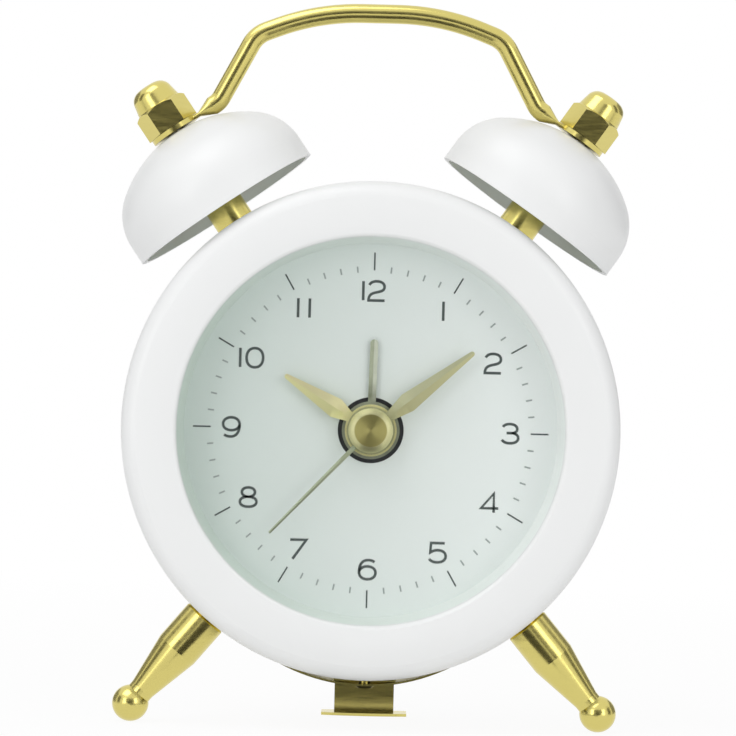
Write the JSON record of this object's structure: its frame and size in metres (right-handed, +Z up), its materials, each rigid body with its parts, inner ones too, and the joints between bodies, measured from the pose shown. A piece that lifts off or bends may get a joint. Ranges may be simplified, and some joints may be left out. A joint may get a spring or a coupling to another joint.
{
  "type": "twin-bell alarm clock",
  "caption": "Small round twin-bell quartz alarm clock, white case and bells, gold wire handle, hands, legs and rear foot, with a geared movement inside.",
  "frame": {"origin": "on the floor, under the middle of the clock's bounding box", "axes": "+X to the clock's left-hand side seen from behind, which is the viewer's right; the dial faces -Y; +Z up"},
  "size_m": [0.0622, 0.0286, 0.0884],
  "materials": {
    "white_paint": "gloss",
    "polished_gold": "polished",
    "satin_gold": "satin",
    "dial_print": "matte",
    "lens_acrylic": "clear",
    "white_plastic": "satin",
    "black_plastic": "matte",
    "movement_plastic": "matte",
    "gear_nylon": "satin",
    "steel": "brushed",
    "copper_wire": "varnished",
    "board_green": "solder mask",
    "battery_steel": "satin",
    "magnet_dark": "matte"
  },
  "bodies": {
    "root": {"case_shell": "white_paint", "bell_left": "white_paint", "bell_right": "white_paint", "front_lens": "lens_acrylic", "reveal_ring": "white_plastic", "dial_plate": "dial_print", "movement_front_plate": "movement_plastic", "movement_middle_plate": "movement_plastic", "movement_back_plate": "movement_plastic", "movement_screws": "steel", "stator": "steel", "coil_core": "steel", "coil": "copper_wire", "circuit_board": "board_green", "control_chip": "black_plastic", "quartz_crystal": "steel", "buzzer": "black_plastic", "back_cover": "white_plastic", "cover_screws": "steel", "battery": "battery_steel", "battery_contacts": "steel", "switch_body": "black_plastic", "bell_post_left": "polished_gold", "bell_post_right": "polished_gold", "bell_stud_left": "steel", "bell_stud_right": "steel", "acorn_nut_left": "polished_gold", "acorn_nut_right": "polished_gold", "inner_nuts": "steel", "handle": "polished_gold", "leg_left": "polished_gold", "leg_right": "polished_gold", "leg_strap": "polished_gold", "rear_foot": "polished_gold", "strap_rivet": "polished_gold"},
    "rotor_body": {"rotor": "magnet_dark"},
    "fifth_body": {"fifth_wheel": "gear_nylon"},
    "second_body": {"second_wheel": "gear_nylon", "second_hand": "satin_gold", "hand_cap": "satin_gold"},
    "third_body": {"third_wheel": "gear_nylon"},
    "centre_body": {"centre_wheel": "gear_nylon"},
    "minute_body": {"minute_pipe": "gear_nylon", "minute_hand": "satin_gold"},
    "motion_body": {"motion_wheel": "gear_nylon"},
    "hour_body": {"hour_wheel": "gear_nylon", "hour_hand": "satin_gold"},
    "time_knob_body": {"time_set_shaft": "gear_nylon", "time_set_knob": "white_plastic"},
    "alarm_knob_body": {"alarm_set_shaft": "gear_nylon", "alarm_set_knob": "white_plastic"},
    "alarm_body": {"alarm_wheel": "gear_nylon", "alarm_hand": "satin_gold"},
    "door_body": {"battery_door": "white_plastic"},
    "switch_slider_body": {"alarm_switch": "black_plastic"}
  },
  "joints": [
    {"name": "seconds_turn", "type": "hinge", "parent": "root", "child": "second_body", "pos_m": [0, -0.00775, 0.03616], "axis": [0, -1, 0], "continuous": true},
    {"name": "rotor_turn", "type": "hinge", "parent": "root", "child": "rotor_body", "pos_m": [0.00928, -0.00775, 0.02842], "axis": [0, -1, 0], "continuous": true},
    {"name": "fifth_turn", "type": "hinge", "parent": "root", "child": "fifth_body", "pos_m": [0.00799, -0.00775, 0.03325], "axis": [0, -1, 0], "continuous": true},
    {"name": "third_turn", "type": "hinge", "parent": "root", "child": "third_body", "pos_m": [-0.00736, -0.00775, 0.03191], "axis": [0, -1, 0], "continuous": true},
    {"name": "centre_turn", "type": "hinge", "parent": "root", "child": "centre_body", "pos_m": [0, -0.00775, 0.03616], "axis": [0, -1, 0], "continuous": true},
    {"name": "time_set_turn", "type": "hinge", "parent": "root", "child": "time_knob_body", "pos_m": [-0.00579, -0.00775, 0.04306], "axis": [0, -1, 0], "continuous": true},
    {"name": "motion_turn", "type": "hinge", "parent": "root", "child": "motion_body", "pos_m": [-0.00599, -0.00775, 0.03656], "axis": [0, -1, 0], "continuous": true},
    {"name": "minutes_turn", "type": "hinge", "parent": "root", "child": "minute_body", "pos_m": [0, -0.00775, 0.03616], "axis": [0, -1, 0], "continuous": true},
    {"name": "hours_turn", "type": "hinge", "parent": "root", "child": "hour_body", "pos_m": [0, -0.00775, 0.03616], "axis": [0, -1, 0], "continuous": true},
    {"name": "alarm_set_turn", "type": "hinge", "parent": "root", "child": "alarm_knob_body", "pos_m": [0.00579, -0.00775, 0.04306], "axis": [0, -1, 0], "continuous": true},
    {"name": "alarm_turn", "type": "hinge", "parent": "root", "child": "alarm_body", "pos_m": [0, -0.00775, 0.03616], "axis": [0, -1, 0], "continuous": true},
    {"name": "battery_door_turn", "type": "hinge", "parent": "root", "child": "door_body", "pos_m": [0, -0.00775, 0.01636], "axis": [0, -1, 0], "range_deg": [0, 40]},
    {"name": "alarm_switch_slide", "type": "slide", "parent": "root", "child": "switch_slider_body", "axis": [1, 0, 0], "range_m": [0, 0.003]}
  ],
  "couplings": [
    {"joint": "third_turn", "follows": "seconds_turn", "ratio": -0.13333},
    {"joint": "centre_turn", "follows": "seconds_turn", "ratio": 0.016667},
    {"joint": "fifth_turn", "follows": "seconds_turn", "ratio": -7.5},
    {"joint": "rotor_turn", "follows": "seconds_turn", "ratio": 30},
    {"joint": "motion_turn", "follows": "time_set_turn", "ratio": -0.44444},
    {"joint": "minutes_turn", "follows": "time_set_turn", "ratio": 1.3333},
    {"joint": "hours_turn", "follows": "time_set_turn", "ratio": 0.11111},
    {"joint": "alarm_turn", "follows": "alarm_set_turn", "ratio": -1}
  ]
}
